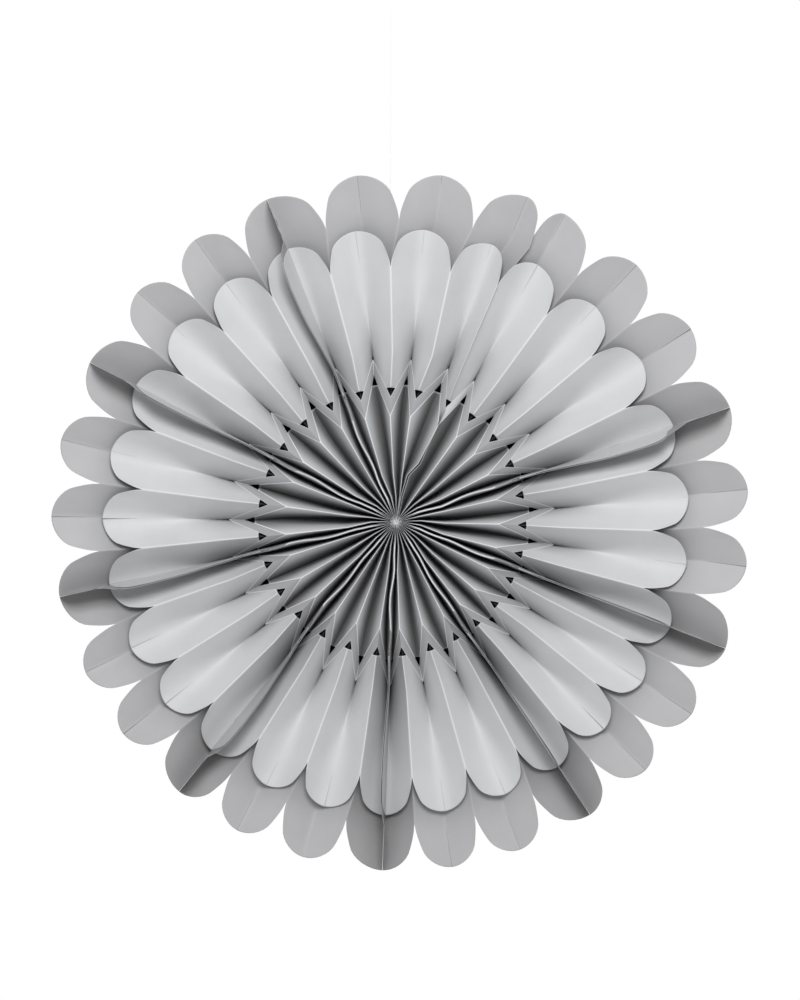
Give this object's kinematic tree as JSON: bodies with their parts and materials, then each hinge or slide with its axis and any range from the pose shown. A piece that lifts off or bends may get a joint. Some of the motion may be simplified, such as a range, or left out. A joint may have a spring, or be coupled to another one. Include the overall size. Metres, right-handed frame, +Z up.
{
  "type": "pleated paper flower",
  "caption": "Round hanging paper flower of pleated sheets in two layers, with petal rims, a folded star in the middle and punched holes round it, on a thin thread.",
  "frame": {"origin": "where the hanging loop rests on its hook, 361.4 mm above the point where the folds meet", "axes": "-Y is the side that the picture shows, +Z is up along the thread, +X is to the right in the picture"},
  "size_m": [0.4485, 0.0362, 0.5862],
  "materials": {
    "front_paper": "satin",
    "back_paper": "satin",
    "thread": "satin"
  },
  "bodies": {
    "root": {"front_sheet_1": "front_paper", "front_sheet_2": "front_paper", "front_sheet_3": "front_paper", "front_sheet_4": "front_paper", "front_sheet_5": "front_paper", "front_sheet_6": "front_paper", "front_sheet_7": "front_paper", "front_sheet_8": "front_paper", "front_sheet_9": "front_paper", "back_sheet_1": "back_paper", "back_sheet_2": "back_paper", "back_sheet_3": "back_paper", "back_sheet_4": "back_paper", "back_sheet_5": "back_paper", "back_sheet_6": "back_paper", "back_sheet_7": "back_paper", "back_sheet_8": "back_paper", "back_sheet_9": "back_paper", "hanging_thread": "thread", "thread_end_knot": "thread", "hanging_loop": "thread"}
  },
  "joints": []
}
